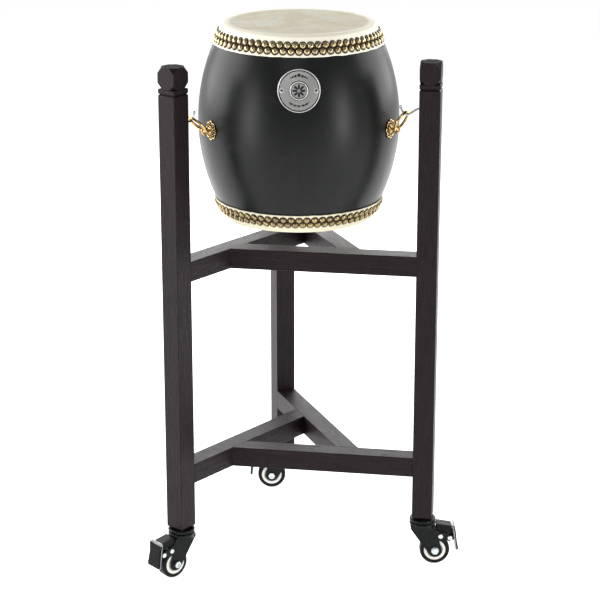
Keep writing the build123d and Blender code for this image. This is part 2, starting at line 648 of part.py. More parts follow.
def hub():
    """Nylon wheel centre: rim, thinner web and a boss bored for the axle."""
    half = WHEEL_WIDTH / 2
    rim = Cylinder(HUB_RADIUS - TYRE_FIT, WHEEL_WIDTH) - Cylinder(HUB_WEB_RADIUS, WHEEL_WIDTH)
    rim = chamfer(rim.edges().filter_by(GeomType.CIRCLE), 0.6)
    web = Cylinder(HUB_WEB_RADIUS + 0.5, half) - Cylinder(HUB_BOSS_RADIUS - 1, half)
    boss = Cylinder(HUB_BOSS_RADIUS, HUB_BOSS_WIDTH)
    wheel = rim + web + boss - Cylinder(AXLE_RADIUS + RUNNING_FIT, THROUGH)
    return across(CASTER_TRAIL, WHEEL_RADIUS) * wheel


def tyre():
    band = Cylinder(WHEEL_RADIUS, WHEEL_WIDTH)
    band = fillet(band.edges().filter_by(GeomType.CIRCLE), TYRE_SHOULDER)
    band -= Cylinder(HUB_RADIUS, WHEEL_WIDTH)
    return across(CASTER_TRAIL, WHEEL_RADIUS) * band


def pedal_frame():
    """A plane on the pedal's middle: X up along the pedal, Z out of its foot side."""
    top = Vector(PEDAL_TOP[0], 0, PEDAL_TOP[1])
    bottom = Vector(PEDAL_BOTTOM[0], 0, PEDAL_BOTTOM[1])
    up = (top - bottom).normalized()
    return Plane(origin=(top + bottom) * 0.5, x_dir=up, z_dir=(up.Z, 0, -up.X))


def pedal_length():
    return math.dist(PEDAL_TOP, PEDAL_BOTTOM)


def brake_lever():
    """Pressed lever: pedal plate, two cheeks with the pivot sleeve, and the shoe over the tyre."""
    plate = Box(pedal_length(), PEDAL_WIDTH, PEDAL_PLATE)
    plate = pedal_frame() * fillet(plate.edges().filter_by(Axis.Z), PEDAL_CORNER)
    sleeve_end = Pos(*RIVET_PIVOT) * Circle(CHEEK_RADIUS)
    plate_root = Pos(54.6, 52) * Rotation(0, 0, 7.4) * Rectangle(1.5, 13)
    cheek = Plane.XZ * make_hull([*sleeve_end.edges(), *plate_root.edges()])
    cheeks = extrude(cheek, amount=LEVER_HALF, both=True)
    cheeks -= extrude(cheek, amount=LEVER_HALF - CHEEK_THICKNESS, both=True)
    sleeve = across(*RIVET_PIVOT) * Cylinder(SLEEVE_RADIUS, 2 * LEVER_HALF)
    finger = Polyline(
        (45.0, 50.0), (50.6, 47.4), (49.4, 41.6), (46.6, 40.0), (43.7, 43.8),
        close=True,
    )
    shoe = extrude(Plane.XZ * make_face(finger), amount=LEVER_HALF - 3, both=True)
    bore = across(*RIVET_PIVOT) * Cylinder(RIVET_RADIUS + RUNNING_FIT, THROUGH)
    return plate + cheeks + sleeve + shoe - bore


def brake_cover():
    """Plastic block on top of the lever, between the legs of the fork."""
    outline = Polyline(
        (24.2, 62.5), (24.2, 76.4), (50.6, 71.6), (51.4, 58.4), (37.0, 58.4),
        close=True,
    )
    half_width = FORK_INNER_WIDTH / 2 - COVER_CLEARANCE
    block = extrude(Plane.XZ * make_face(outline), amount=half_width, both=True)
    return fillet(block.edges().filter_by(Axis.Y), COVER_EDGE)


def pedal_pad():
    """Grooved rubber tread on the foot side of the pedal, a little wider than its plate."""
    length = pedal_length() - PAD_TOP_MARGIN - PAD_FOOT_MARGIN
    middle = (PAD_FOOT_MARGIN - PAD_TOP_MARGIN) / 2
    tread = Box(length, PAD_WIDTH, PAD_THICKNESS, align=STANDING)
    tread = fillet(tread.edges().filter_by(Axis.Z), PEDAL_CORNER)
    tread = fillet(tread.faces().sort_by(Axis.Z)[-1].edges(), 1.0)
    groove = Pos(0, 0, PAD_THICKNESS) * Box(GROOVE_WIDTH, PAD_WIDTH - 10, GROOVE_DEPTH)
    reach = PAD_GROOVES // 2 * GROOVE_PITCH
    grooves = [Pos(x, 0, 0) * groove for x in range(-reach, reach + 1, GROOVE_PITCH)]
    return pedal_frame() * Pos(middle, 0, PEDAL_PLATE / 2) * (tread - grooves)


# ---------------------------------------------------------------- build
os.makedirs("parts", exist_ok=True)

for side in SIDES:
    save(f"post_{side}", post(side))
    save(f"upper_rail_{side}", rail(side, UPPER_RAIL_TOP))
    save(f"lower_rail_{side}", rail(side, LOWER_RAIL_TOP))
    save(f"hook_{side}", hook(side))
    save(f"ring_{side}", ring(side))

dowel = Cylinder(DOWEL_RADIUS, DOWEL_LENGTH)
all_dowels = []
for side in SIDES:
    for plane in dowels(side, UPPER_RAIL_TOP) + dowels(side, LOWER_RAIL_TOP):
        all_dowels.append(plane * dowel)
save("rail_dowels", Compound(all_dowels))

insert = Cylinder(INSERT_RADIUS, INSERT_LENGTH, align=STANDING)
insert -= Cylinder(STEM_RADIUS + RUNNING_FIT, THROUGH)
insert_foot = POST_BOTTOM + INSERT_RECESS
save("stem_inserts", Compound([Pos(*along_rail(side, 0, 0, insert_foot)) * insert for side in SIDES]))

save("drum_shell", shell())
top_head = head()
save("top_head", at_drum(top_head))
save("bottom_head", at_drum(Rot(180, 0, 0) * top_head))
nails = Compound(nail_rows())
save("top_nails", at_drum(nails))
save("bottom_nails", at_drum(Rot(180, 0, 0) * nails))
save("badge", badge())
save("badge_pins", Compound([at_drum(plane * badge_pin()) for plane in badge_pin_planes()]))
save("rosettes", Compound([rosette(side) for side in SIDES]))
save("ring_bolts", Compound([ring_bolt(side) for side in SIDES]))
save("ring_bolt_nuts", Compound([ring_bolt_nut(side) for side in SIDES]))

caster_parts = {
    "top_race": top_race(),
    "balls": balls(),
    "fork": fork(),
    "axle_bolt": axle_bolt(),
    "axle_nut": axle_nut(),
    "rivets": [rivet(RIVET_FRONT), rivet(RIVET_PIVOT)],
    "hub": hub(),
    "tyre": tyre(),
    "brake_lever": brake_lever(),
    "brake_cover": brake_cover(),
    "pedal_pad": pedal_pad(),
}
for side in SIDES:
    for name, shape in caster_parts.items():
        if isinstance(shape, list):
            placed = Compound([at_caster(side, one) for one in shape])
        else:
            placed = at_caster(side, shape)
        save(f"caster_{side}_{name}", placed)
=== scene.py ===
import math
import random

import bmesh
import bpy
from mathutils import Matrix, Vector, noise


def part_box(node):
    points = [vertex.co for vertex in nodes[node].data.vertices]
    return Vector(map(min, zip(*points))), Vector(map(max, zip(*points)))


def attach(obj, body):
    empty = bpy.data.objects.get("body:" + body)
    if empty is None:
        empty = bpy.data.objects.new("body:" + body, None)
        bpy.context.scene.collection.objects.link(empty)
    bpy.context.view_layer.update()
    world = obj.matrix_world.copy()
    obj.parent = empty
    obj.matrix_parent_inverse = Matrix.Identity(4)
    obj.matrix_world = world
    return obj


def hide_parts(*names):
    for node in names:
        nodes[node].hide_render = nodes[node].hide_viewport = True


# A barrel drum on a three-post rolling stand: visible pieces and materials for the packed
# CAD model. Everything is in metres, in the frame of the CAD, unless a line says otherwise.
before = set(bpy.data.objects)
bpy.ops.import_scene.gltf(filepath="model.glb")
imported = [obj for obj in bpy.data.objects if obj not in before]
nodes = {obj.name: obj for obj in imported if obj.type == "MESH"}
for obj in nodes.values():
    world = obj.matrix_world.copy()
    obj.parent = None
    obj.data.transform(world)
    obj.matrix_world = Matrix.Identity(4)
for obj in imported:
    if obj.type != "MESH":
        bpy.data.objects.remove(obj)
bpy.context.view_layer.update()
random.seed(20)

MM = 0.001
SIDES = ("right", "left", "rear")
RAIL_HEADINGS = {"right": 170.6, "left": 50.6, "rear": 290.6}    # degrees about Z

shell_low, shell_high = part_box("drum_shell")
DRUM_CENTRE = (shell_low + shell_high) / 2
BELLY_RADIUS = 0.170
STAVE_RADIUS = 0.322             # the barrel's side is an arc of this radius
STAVE_CENTRE = BELLY_RADIUS - STAVE_RADIUS
HIDE_THICKNESS = 0.00235
SKIRT_RADIUS = STAVE_RADIUS + HIDE_THICKNESS


# ---------------------------------------------------------------- material helpers
class Nodes:
    """A material under construction: its node tree and the Principled shader in it."""

    def __init__(self, name):
        self.material = bpy.data.materials.new(name)
        self.material.use_nodes = True
        self.tree = self.material.node_tree
        self.shader = self.tree.nodes["Principled BSDF"]

    def add(self, kind, inputs=None, **settings):
        node = self.tree.nodes.new(kind)
        for key, value in settings.items():
            setattr(node, key, value)
        for key, value in (inputs or {}).items():
            if isinstance(value, bpy.types.NodeSocket):
                self.tree.links.new(value, node.inputs[key])
            else:
                node.inputs[key].default_value = value
        return node

    def link(self, socket, name):
        self.tree.links.new(socket, self.shader.inputs[name])

    def fixed(self, **values):
        for key, value in values.items():
            self.shader.inputs[key.replace("_", " ")].default_value = value

    def coordinates(self, scale=(1, 1, 1), turn=0.0, shift=(0, 0, 0)):
        """Position in the CAD's frame, turned about Z, then scaled and shifted."""
        place = self.add("ShaderNodeTexCoord").outputs["Object"]
        turned = self.add("ShaderNodeMapping", {"Vector": place, "Rotation": (0, 0, turn)})
        return self.add("ShaderNodeMapping",
                        {"Vector": turned.outputs[0], "Scale": scale, "Location": shift}).outputs[0]

    def noise(self, place, scale, detail=3.0, roughness=0.5, distortion=0.0):
        inputs = {"Vector": place, "Scale": scale, "Detail": detail, "Roughness": roughness,
                  "Distortion": distortion}
        return self.add("ShaderNodeTexNoise", inputs).outputs[0]

    def ramp(self, value, low, high, start=0.0, end=1.0):
        """Maps value from low..high to start..end, clamped."""
        inputs = {"Value": value, "From Min": low, "From Max": high, "To Min": start, "To Max": end}
        return self.add("ShaderNodeMapRange", inputs).outputs[0]

    def math(self, operation, a, b=0.5):
        return self.add("ShaderNodeMath", {0: a, 1: b}, operation=operation).outputs[0]

    def mix(self, factor, a, b):
        node = self.add("ShaderNodeMix", data_type="RGBA", blend_type="MIX")
        for index, value in ((0, factor), (6, a), (7, b)):
            if isinstance(value, bpy.types.NodeSocket):
                self.tree.links.new(value, node.inputs[index])
            else:
                node.inputs[index].default_value = value if index == 0 else (*value, 1.0)
        return node.outputs[2]

    def bump(self, height, distance, strength=1.0, normal=None):
        inputs = {"Height": height, "Distance": distance, "Strength": strength}
        if normal is not None:
            inputs["Normal"] = normal
        return self.add("ShaderNodeBump", inputs).outputs[0]

    def dot(self, a, b):
        node = self.add("ShaderNodeVectorMath", {0: a, 1: b}, operation="DOT_PRODUCT")
        return node.outputs["Value"]

    def edge(self, radius):
        """1 on sharp outer edges and corners, 0 on flat faces."""
        rounded = self.add("ShaderNodeBevel", {"Radius": radius}, samples=4).outputs[0]
        flat = self.add("ShaderNodeNewGeometry").outputs["Normal"]
        return self.ramp(self.dot(rounded, flat), 0.995, 0.90)

    def attribute(self, name):
        node = self.add("ShaderNodeAttribute", attribute_name=name, attribute_type="GEOMETRY")
        return node.outputs["Fac"]


# ---------------------------------------------------------------- materials
def wood(name, turn, along, shift):
    """Open-grained timber under a nearly black stain; along is the grain's axis after the turn."""
    m = Nodes(name)
    stretch = [1.0, 1.0, 1.0]
    stretch["XYZ".index(along)] = 0.045
    place = m.coordinates(stretch, turn, shift)
    broad = m.noise(place, 26, 3, 0.5, 0.6)
    grain = m.noise(place, 420, 5, 0.62, 0.25)
    stretch["XYZ".index(along)] = 0.16
    pores = m.ramp(m.noise(m.coordinates(stretch, turn, shift), 560, 3, 0.6), 0.52, 0.64)
    tone = m.ramp(grain, 0.32, 0.70)
    body = m.mix(tone, (0.0036, 0.0021, 0.0028), (0.0180, 0.0096, 0.0132))
    body = m.mix(m.ramp(broad, 0.35, 0.75, 0.0, 0.55), body, (0.0125, 0.0054, 0.0070))
    body = m.mix(m.math("MULTIPLY", pores, 0.7), body, (0.0022, 0.0014, 0.0016))
    worn = m.math("MULTIPLY", m.edge(0.0016), m.ramp(m.noise(m.coordinates(), 60, 4), 0.42, 0.7))
    body = m.mix(m.math("MULTIPLY", worn, 0.5), body, (0.055, 0.036, 0.030))
    rough = m.ramp(grain, 0.25, 0.75, 0.50, 0.36)
    if along == "Z":
        normal = m.add("ShaderNodeTexCoord").outputs["Normal"]
        upward = m.add("ShaderNodeSeparateXYZ", {0: normal}).outputs[2]
        end_grain = m.ramp(m.math("ABSOLUTE", upward), 0.85, 0.97)
        rough = m.math("ADD", rough, m.math("MULTIPLY", end_grain, 0.4))
        body = m.mix(m.math("MULTIPLY", end_grain, 0.2), body, (0.004, 0.003, 0.003))
    m.link(body, "Base Color")
    m.link(rough, "Roughness")
    relief = m.math("SUBTRACT", tone, pores)
    m.link(m.bump(relief, 0.00030, 0.7), "Normal")
    m.fixed(Specular_IOR_Level=0.15)
    return m.material


def pale_wood(name):
    """Bare hardwood of the dowels."""
    m = Nodes(name)
    grain = m.noise(m.coordinates((1, 1, 0.2)), 300, 4, 0.6)
    m.link(m.mix(grain, (0.42, 0.27, 0.14), (0.60, 0.43, 0.26)), "Base Color")
    m.link(m.ramp(grain, 0, 1, 0.55, 0.75), "Roughness")
    m.link(m.bump(grain, 0.0002, 0.5), "Normal")
    return m.material


def lacquer(name):
    """Satin black lacquer on the barrel, with a trace of orange peel and handling marks."""
    m = Nodes(name)
    place = m.coordinates()
    haze = m.noise(place, 11, 4, 0.55, 0.4)
    smudge = m.ramp(m.noise(place, 34, 5, 0.6, 0.8), 0.55, 0.75)
    peel = m.noise(place, 520, 2, 0.5)
    long = m.noise(m.coordinates((1, 1, 0.12)), 38, 3, 0.5)
    body = m.mix(m.ramp(haze, 0.35, 0.7), (0.0026, 0.0030, 0.0031), (0.0052, 0.0058, 0.0060))
    m.link(m.mix(m.math("MULTIPLY", smudge, 0.25), body, (0.024, 0.024, 0.024)), "Base Color")
    gloss = m.ramp(haze, 0.3, 0.75, 0.31, 0.38)
    m.link(m.math("ADD", gloss, m.math("MULTIPLY", smudge, 0.05)), "Roughness")
    fine = m.bump(peel, 0.00006, 0.35)
    m.link(m.bump(long, 0.00045, 0.30, fine), "Normal")
    m.fixed(Specular_IOR_Level=0.22)
    return m.material


def hide(name, fresh, aged):
    """Cured hide: greyer and mottled where it is played, cream and thicker-looking at the lap."""
    m = Nodes(name)
    place = m.coordinates(shift=(-DRUM_CENTRE.x, -DRUM_CENTRE.y, 0))
    parts = m.add("ShaderNodeSeparateXYZ", {0: place})
    flat = m.add("ShaderNodeCombineXYZ", {0: parts.outputs[0], 1: parts.outputs[1]}).outputs[0]
    radius = m.add("ShaderNodeVectorMath", {0: flat}, operation="LENGTH").outputs["Value"]
    cloud = m.noise(place, 9, 5, 0.6, 1.2)
    fleck = m.noise(place, 46, 5, 0.65, 0.6)
    pore = m.noise(place, 900, 3, 0.6)
    cells = {"Vector": place, "Scale": 38.0, "Randomness": 1.0}
    vein = m.add("ShaderNodeTexVoronoi", cells, feature="DISTANCE_TO_EDGE").outputs["Distance"]
    played = m.ramp(radius, 0.1215, 0.1130)
    centre = m.mix(m.ramp(cloud, 0.40, 0.58), (0.610, 0.598, 0.500), (0.545, 0.487, 0.352))
    centre = m.mix(m.ramp(fleck, 0.50, 0.72, 0.0, 0.6), centre, (0.40, 0.335, 0.235))
    centre = m.mix(m.ramp(vein, 0.0, 0.05, 0.14, 0.0), centre, (0.45, 0.36, 0.25))
    rim = m.mix(m.ramp(fleck, 0.4, 0.75, 0.0, 0.6), fresh, aged)
    body = m.mix(played, rim, centre)
    body = m.mix(m.ramp(pore, 0.35, 0.6, 0.18, 0.0), body, (0.40, 0.32, 0.22))
    # Painted shade: the hide darkens to dark brown round each nail head, from the mesh's values plus a
    # little noise.
    nail_shade = m.math("ADD", m.attribute("nail_shade"), m.math("MULTIPLY", m.ramp(fleck, 0.3, 0.7, -1, 1), 0.12))
    m.link(m.mix(m.ramp(nail_shade, 0.25, 0.8), body, (0.035, 0.022, 0.012)), "Base Color")
    m.link(m.ramp(fleck, 0.3, 0.75, 0.78, 0.62), "Roughness")
    relief = m.bump(pore, 0.00012, 0.35)
    m.link(m.bump(fleck, 0.0006, 0.25, relief), "Normal")
    m.fixed(Specular_IOR_Level=0.20)
    return m.material


def nail_brass(name, light, dark):
    """Antiqued brass: bright crowns, near-black round the foot of each nail: patina and painted shade.
    """
    m = Nodes(name)
    place = m.coordinates()
    worn = m.attribute("worn")
    tone = m.attribute("tone")
    tarnish = m.noise(place, 420, 4, 0.6, 0.5)
    brass = m.mix(tone, light, dark)
    brass = m.mix(m.ramp(tarnish, 0.42, 0.66, 0.0, 0.8), brass, (0.10, 0.062, 0.028))
    # Low polish darkens the brass to near-black brown at each nail's foot: patina, and painted shade
    # where the nail meets the hide.
    clean = m.ramp(m.math("ADD", worn, m.math("MULTIPLY", tarnish, 0.3)), 0.30, 1.0)
    m.link(m.mix(clean, (0.012, 0.006, 0.003), brass), "Base Color")
    m.link(m.ramp(clean, 0, 1, 0.48, 0.20), "Roughness")
    m.link(m.bump(tarnish, 0.00010, 0.35), "Normal")
    m.fixed(Metallic=1.0)
    return m.material


def metal(name, light, dark, rough, spread, scale=300.0, bump=0.00005):
    """Plated or polished metal with light tarnish and fine wear."""
    m = Nodes(name)
    place = m.coordinates()
    tint = m.noise(place, scale, 4, 0.6, 0.4)
    fine = m.noise(place, 2200, 2, 0.5)
    m.link(m.mix(m.ramp(tint, 0.42, 0.75), light, dark), "Base Color")
    m.link(m.ramp(tint, 0.3, 0.7, rough, rough + spread), "Roughness")
    m.link(m.bump(fine, bump, 0.4), "Normal")
    m.fixed(Metallic=1.0)
    return m.material


def engraved(name, light, dark, rough):
    """Cast metal whose recesses hold dark patina, from the piece's own "raised" values."""
    m = Nodes(name)
    place = m.coordinates()
    tint = m.noise(place, 700, 4, 0.65)
    fine = m.noise(place, 2600, 3, 0.6)
    relief = m.math("ADD", m.attribute("raised"), m.math("MULTIPLY", tint, 0.22))
    raised = m.ramp(relief, 0.30, 0.82)
    clean = m.mix(m.ramp(tint, 0.35, 0.7, 0.0, 0.35), light, tuple(0.6 * c for c in light))
    m.link(m.mix(raised, dark, clean), "Base Color")
    m.link(m.ramp(raised, 0, 1, 0.48, rough), "Roughness")
    m.link(m.bump(fine, 0.00008, 0.4), "Normal")
    m.fixed(Metallic=1.0)
    return m.material


def painted(name, colour, rough, coat):
    """Baked gloss paint on pressed steel, worn through a little at the edges."""
    m = Nodes(name)
    place = m.coordinates()
    peel = m.noise(place, 1300, 2, 0.5)
    dust = m.ramp(m.noise(place, 150, 5, 0.65), 0.5, 0.8)
    worn = m.math("MULTIPLY", m.edge(0.0005), m.ramp(m.noise(place, 500, 4, 0.6), 0.52, 0.62))
    body = m.mix(m.math("MULTIPLY", dust, 0.07), colour, (0.16, 0.15, 0.14))
    m.link(m.mix(m.math("MULTIPLY", worn, 0.5), body, (0.25, 0.25, 0.25)), "Base Color")
    m.link(m.ramp(dust, 0, 1, rough, rough + 0.14), "Roughness")
    m.link(m.bump(peel, 0.00005, 0.3), "Normal")
    m.fixed(Coat_Weight=coat, Coat_Roughness=0.08, Specular_IOR_Level=0.07)
    return m.material


def moulded(name, colour, dust_colour, rough, grain_scale, depth, shine):
    """Moulded plastic or rubber with a fine grained skin and a little dust."""
    m = Nodes(name)
    place = m.coordinates()
    skin = m.add("ShaderNodeTexVoronoi", {"Vector": place, "Scale": grain_scale}).outputs["Distance"]
    dust = m.ramp(m.noise(place, 90, 5, 0.65, 0.4), 0.48, 0.78)
    cloud = m.noise(place, 40, 3)
    body = m.mix(cloud, tuple(0.75 * c for c in colour), tuple(1.2 * c for c in colour))
    m.link(m.mix(m.math("MULTIPLY", dust, 0.3), body, dust_colour), "Base Color")
    m.link(m.ramp(dust, 0, 1, rough, min(1.0, rough + 0.2)), "Roughness")
    m.link(m.bump(skin, depth, 0.4), "Normal")
    m.fixed(Specular_IOR_Level=shine)
    return m.material


MATERIALS = {
    "dowels": pale_wood("dowel_wood"),
    "lacquer": lacquer("black_lacquer"),
    "hide": hide("drum_hide", (0.90, 0.87, 0.74), (0.87, 0.81, 0.66)),
    # The bottom head's hide is a darker copy of the top's: painted shade on the underside of the drum.
    "shaded_lower_hide": hide("shaded_lower_drum_hide", (0.70, 0.66, 0.50), (0.66, 0.60, 0.44)),
    "nails": nail_brass("nail_brass", (0.72, 0.58, 0.32), (0.52, 0.43, 0.26)),
    # The bottom nails are a darker copy of the top nails: painted shade on the underside of the drum.
    "shaded_lower_nails": nail_brass("shaded_lower_nail_brass", (0.44, 0.34, 0.16), (0.32, 0.26, 0.14)),
    "gold": metal("polished_brass", (0.64, 0.43, 0.15), (0.26, 0.15, 0.04), 0.12, 0.16),
    "rosette": engraved("cast_brass", (0.70, 0.50, 0.21), (0.016, 0.007, 0.002), 0.17),
    "badge": engraved("badge_steel", (0.66, 0.66, 0.65), (0.035, 0.035, 0.035), 0.38),
    "pin": metal("pin_steel", (0.10, 0.10, 0.10), (0.05, 0.05, 0.05), 0.35, 0.2),
    "hook": metal("hook_chrome", (0.50, 0.51, 0.52), (0.24, 0.24, 0.25), 0.12, 0.14),
    "zinc": metal("zinc_plate", (0.66, 0.70, 0.70), (0.42, 0.45, 0.46), 0.28, 0.18,
                  scale=700.0, bump=0.00010),
    "ball": metal("ball_steel", (0.7, 0.7, 0.7), (0.5, 0.5, 0.5), 0.10, 0.1),
    "insert": metal("insert_brass", (0.70, 0.52, 0.25), (0.45, 0.30, 0.12), 0.3, 0.2),
    "paint": painted("black_paint", (0.0035, 0.0045, 0.0045), 0.24, 0.14),
    "nylon": moulded("white_nylon", (0.80, 0.79, 0.75), (0.58, 0.55, 0.50),
                     rough=0.38, grain_scale=900.0, depth=0.00003, shine=0.35),
    "plastic": moulded("black_plastic", (0.005, 0.005, 0.005), (0.02, 0.02, 0.02),
                       rough=0.40, grain_scale=1400.0, depth=0.00008, shine=0.11),
    "tyre": moulded("tyre_rubber", (0.0045, 0.0045, 0.0045), (0.03, 0.028, 0.026),
                    rough=0.44, grain_scale=1100.0, depth=0.00006, shine=0.14),
    "pad": moulded("pad_rubber", (0.0060, 0.0060, 0.0058), (0.03, 0.028, 0.026),
                   rough=0.50, grain_scale=1300.0, depth=0.00010, shine=0.08),
}
NODE_MATERIALS = {
    "rail_dowels": "dowels", "stem_inserts": "insert", "drum_shell": "lacquer", "top_head": "hide",
    "bottom_head": "shaded_lower_hide", "top_nails": "nails", "bottom_nails": "shaded_lower_nails", "badge": "badge",
    "badge_pins": "pin", "rosettes": "rosette", "ring_bolts": "gold", "ring_bolt_nuts": "zinc",
}
PART_MATERIALS = {
    "hook": "hook", "ring": "gold", "top_race": "paint", "balls": "ball", "fork": "paint",
    "axle_bolt": "zinc", "axle_nut": "zinc", "rivets": "zinc", "hub": "nylon", "tyre": "tyre",
    "brake_cover": "plastic", "pedal_pad": "pad",
}


def dress(node, material):
    """Gives every material slot of a CAD node the same material."""
    mesh = nodes[node].data
    if not mesh.materials:
        mesh.materials.append(material)
    for index in range(len(mesh.materials)):
        mesh.materials[index] = material


for name in nodes:
    kind = name.rsplit("_", 1)[0]
    if name.startswith("caster_"):
        kind = name.split("_", 2)[2]
    if name in NODE_MATERIALS:
        dress(name, MATERIALS[NODE_MATERIALS[name]])
    elif kind in PART_MATERIALS:
        dress(name, MATERIALS[PART_MATERIALS[kind]])

for side in SIDES:
    heading = math.radians(RAIL_HEADINGS[side])
    for kind, along in (("post", "Z"), ("upper_rail", "X"), ("lower_rail", "X")):
        drift = tuple(random.uniform(-3, 3) for axis in range(3))
        dress(f"{kind}_{side}", wood(f"stained_wood_{kind}_{side}", -heading, along, drift))


# ---------------------------------------------------------------- mesh helpers
def spun(rows, start, end):
    """Vertices and faces of a closed skin: a pole, rings of points, and a second pole."""
    spokes = len(rows[0])
    points = [start]
    for row in rows:
        points.extend(row)
    points.append(end)
    last = len(points) - 1
    faces = []
    for k in range(spokes):
        after = (k + 1) % spokes
        faces.append((0, 1 + k, 1 + after))
        for r in range(len(rows) - 1):
            low = 1 + r * spokes
            high = low + spokes
            faces.append((low + k, high + k, high + after, low + after))
        base = last - spokes
        faces.append((last, base + after, base + k))
    return points, faces


def piece(name, points, faces, body, material, replaces, values=None):
    """One visible piece, with its normals outwards, riding on a body for a CAD node."""
    mesh = bpy.data.meshes.new(name)
    mesh.from_pydata(points, [], faces)
    work = bmesh.new()
    work.from_mesh(mesh)
    bmesh.ops.recalc_face_normals(work, faces=work.faces)
    work.to_mesh(mesh)
    work.free()
    mesh.polygons.foreach_set("use_smooth", [True] * len(mesh.polygons))
    for key, numbers in (values or {}).items():
        mesh.attributes.new(key, "FLOAT", "POINT").data.foreach_set("value", numbers)
    mesh.materials.append(material)
    made = bpy.data.objects.new(name, mesh)
    bpy.context.scene.collection.objects.link(made)
    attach(made, body)
    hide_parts(replaces)


def clamp(value):
    """Value, held between 0 and 1."""
    return max(0.0, min(1.0, value))


def hump(distance, width):
    """A smooth raised bead: 1 at its middle, 0 beyond its half width."""
    t = abs(distance) / width
    return math.sqrt(1 - t * t) if t < 1 else 0.0


def on_barrel(across, rise, height):
    """Point over the barrel, from the drum's centre: arc length across, arc angle rise, height."""
    out = STAVE_CENTRE + (STAVE_RADIUS + height) * math.cos(rise)
    level = (STAVE_RADIUS + height) * math.sin(rise)
    turn = across / out
    return out * math.cos(turn), out * math.sin(turn), level


# ---------------------------------------------------------------- nails
NAIL_ROW_HEIGHTS = (0.1396, 0.1484)    # above or below the drum's middle
NAILS_PER_ROW = 68
NAIL_CLEARANCE = 0.00005
NAIL_LEAN = 0.05                 # radians, at most, either way
NAIL_SPOKES = 20
NAIL_PEAK = 3.4                  # millimetres, like the profile
NAIL_PROFILE = (                 # radius, height and polish, in millimetres and 0 to 1; the foot's low polish is partly painted shade
    (0.9, 3.38, 1.0), (1.8, 3.22, 1.0), (2.7, 2.92, 0.97), (3.5, 2.44, 0.90), (4.1, 1.92, 0.80),
    (4.6, 1.36, 0.68), (4.95, 0.82, 0.45), (5.12, 0.48, 0.05), (5.25, 0.36, 0.0), (5.38, 0.30, 0.06),
    (5.46, 0.16, 0.0), (5.48, 0.05, 0.0),
)


def nails(name, node, upside):
    """Two staggered rows of domed nails, none of them quite like its neighbour."""
    points, faces, worn, tone = [], [], [], []
    for row, height in enumerate(NAIL_ROW_HEIGHTS):
        slope = math.asin(height / STAVE_RADIUS)
        reach = STAVE_CENTRE + (SKIRT_RADIUS + NAIL_CLEARANCE) * math.cos(slope)
        level = (SKIRT_RADIUS + NAIL_CLEARANCE) * math.sin(slope)
        for n in range(NAILS_PER_ROW):
            azimuth = 2 * math.pi * (n + row / 2) / NAILS_PER_ROW
            lean = slope + random.uniform(-NAIL_LEAN, NAIL_LEAN)
            out = Vector((math.cos(lean), 0, math.sin(lean)))
            side = Vector((0, 1, 0))
            up = Vector((-math.sin(lean), 0, math.cos(lean)))
            shade = random.random()
            polish = random.uniform(0.8, 1.0)
            turn = Matrix.Rotation(azimuth, 3, "Z")
            foot = Vector((reach, 0, level))

            def place(radius, angle, lift):
                spot = foot + side * (radius * math.cos(angle)) + up * (radius * math.sin(angle))
                spot = turn @ (spot + out * lift)
                return DRUM_CENTRE + Vector((spot.x, spot.y, spot.z * upside))

            rings = [[place(r * MM, 2 * math.pi * k / NAIL_SPOKES, h * MM) for k in range(NAIL_SPOKES)]
                     for r, h, p in NAIL_PROFILE]
            spot, skin = spun(rings, place(0, 0, NAIL_PEAK * MM), place(0, 0, 0))
            base = len(points)
            points.extend(spot)
            faces.extend(tuple(base + i for i in face) for face in skin)
            worn.append(polish)
            # Polish per ring of the profile; its low values at the foot paint shade where the nail meets
            # the hide.
            for r, h, p in NAIL_PROFILE:
                worn.extend([p * polish] * NAIL_SPOKES)
            worn.append(0.0)
            tone.extend([shade] * len(spot))
    piece(name, points, faces, "drum", MATERIALS[NODE_MATERIALS[node]], node,
          {"worn": worn, "tone": tone})


nails("nails_upper", "top_nails", 1)
nails("nails_lower", "bottom_nails", -1)


# ---------------------------------------------------------------- hides
DRUM_HALF = 0.165                # heights are measured from the drum's middle
SHELL_HALF = 0.1625
SHOULDER = 0.157                 # the hide is rounded above this height, a skirt below it
FLAT_RADIUS = 0.124
LAP_HEIGHT = 0.1315              # the hide's cut edge
LAP_WAVER = 0.0007
HIDE_SPOKES = 12 * NAILS_PER_ROW
FLAT_RINGS = 14
SHOULDER_RINGS = 8
SKIRT_RINGS = 24
HEAD_SAG = 0.00018
SHOULDER_WAVER = 0.00022
SKIRT_WAVER = 0.00025
LAP_THINNING = 0.0003
HIDE_GAP = 0.00006               # between the skirt's inner side and the shell
HEAD_GAP = 0.00002               # between the head's inner side and the shell's end
INNER_HEIGHTS = (0.138, 0.146, 0.152, SHELL_HALF - 0.004)
NAIL_RING_RADIUS = 0.134
NAIL_SHADE_REACH = 0.0070             # painted shade darkens the hide this far round each nail
NAIL_SHADE_EDGE = 0.0010
NAIL_SHADE_SHIFT = 0.0011             # and the painted shade lies this much nearer the head


def skirt_radius(height, skin):
    """Radius of the barrel at a height, with a skin of this thickness on it."""
    return STAVE_CENTRE + math.sqrt((STAVE_RADIUS + skin) ** 2 - height ** 2)


